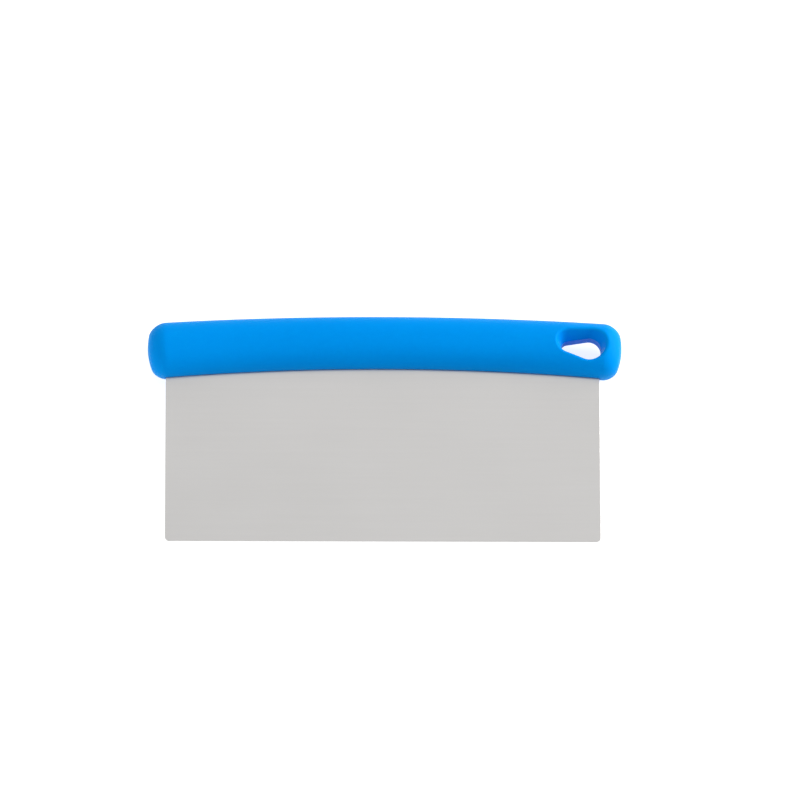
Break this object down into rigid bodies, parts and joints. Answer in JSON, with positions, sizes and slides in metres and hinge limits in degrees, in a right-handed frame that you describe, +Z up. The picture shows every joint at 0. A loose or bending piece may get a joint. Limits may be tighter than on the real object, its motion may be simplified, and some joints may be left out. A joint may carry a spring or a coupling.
{
  "type": "bench scraper",
  "caption": "Bench scraper with a wide rectangular stainless steel blade and a gently arched blue plastic grip with a teardrop hanging hole.",
  "frame": {"origin": "centre of the tool's footprint on the surface it lies on", "axes": "+X along the blade's width towards the hanging hole, +Y from the scraping edge to the grip, +Z up"},
  "size_m": [0.2296, 0.1116, 0.0226],
  "materials": {
    "steel": "satin",
    "blue_plastic": "satin"
  },
  "bodies": {
    "root": {"blade": "steel", "handle": "blue_plastic"}
  },
  "joints": []
}
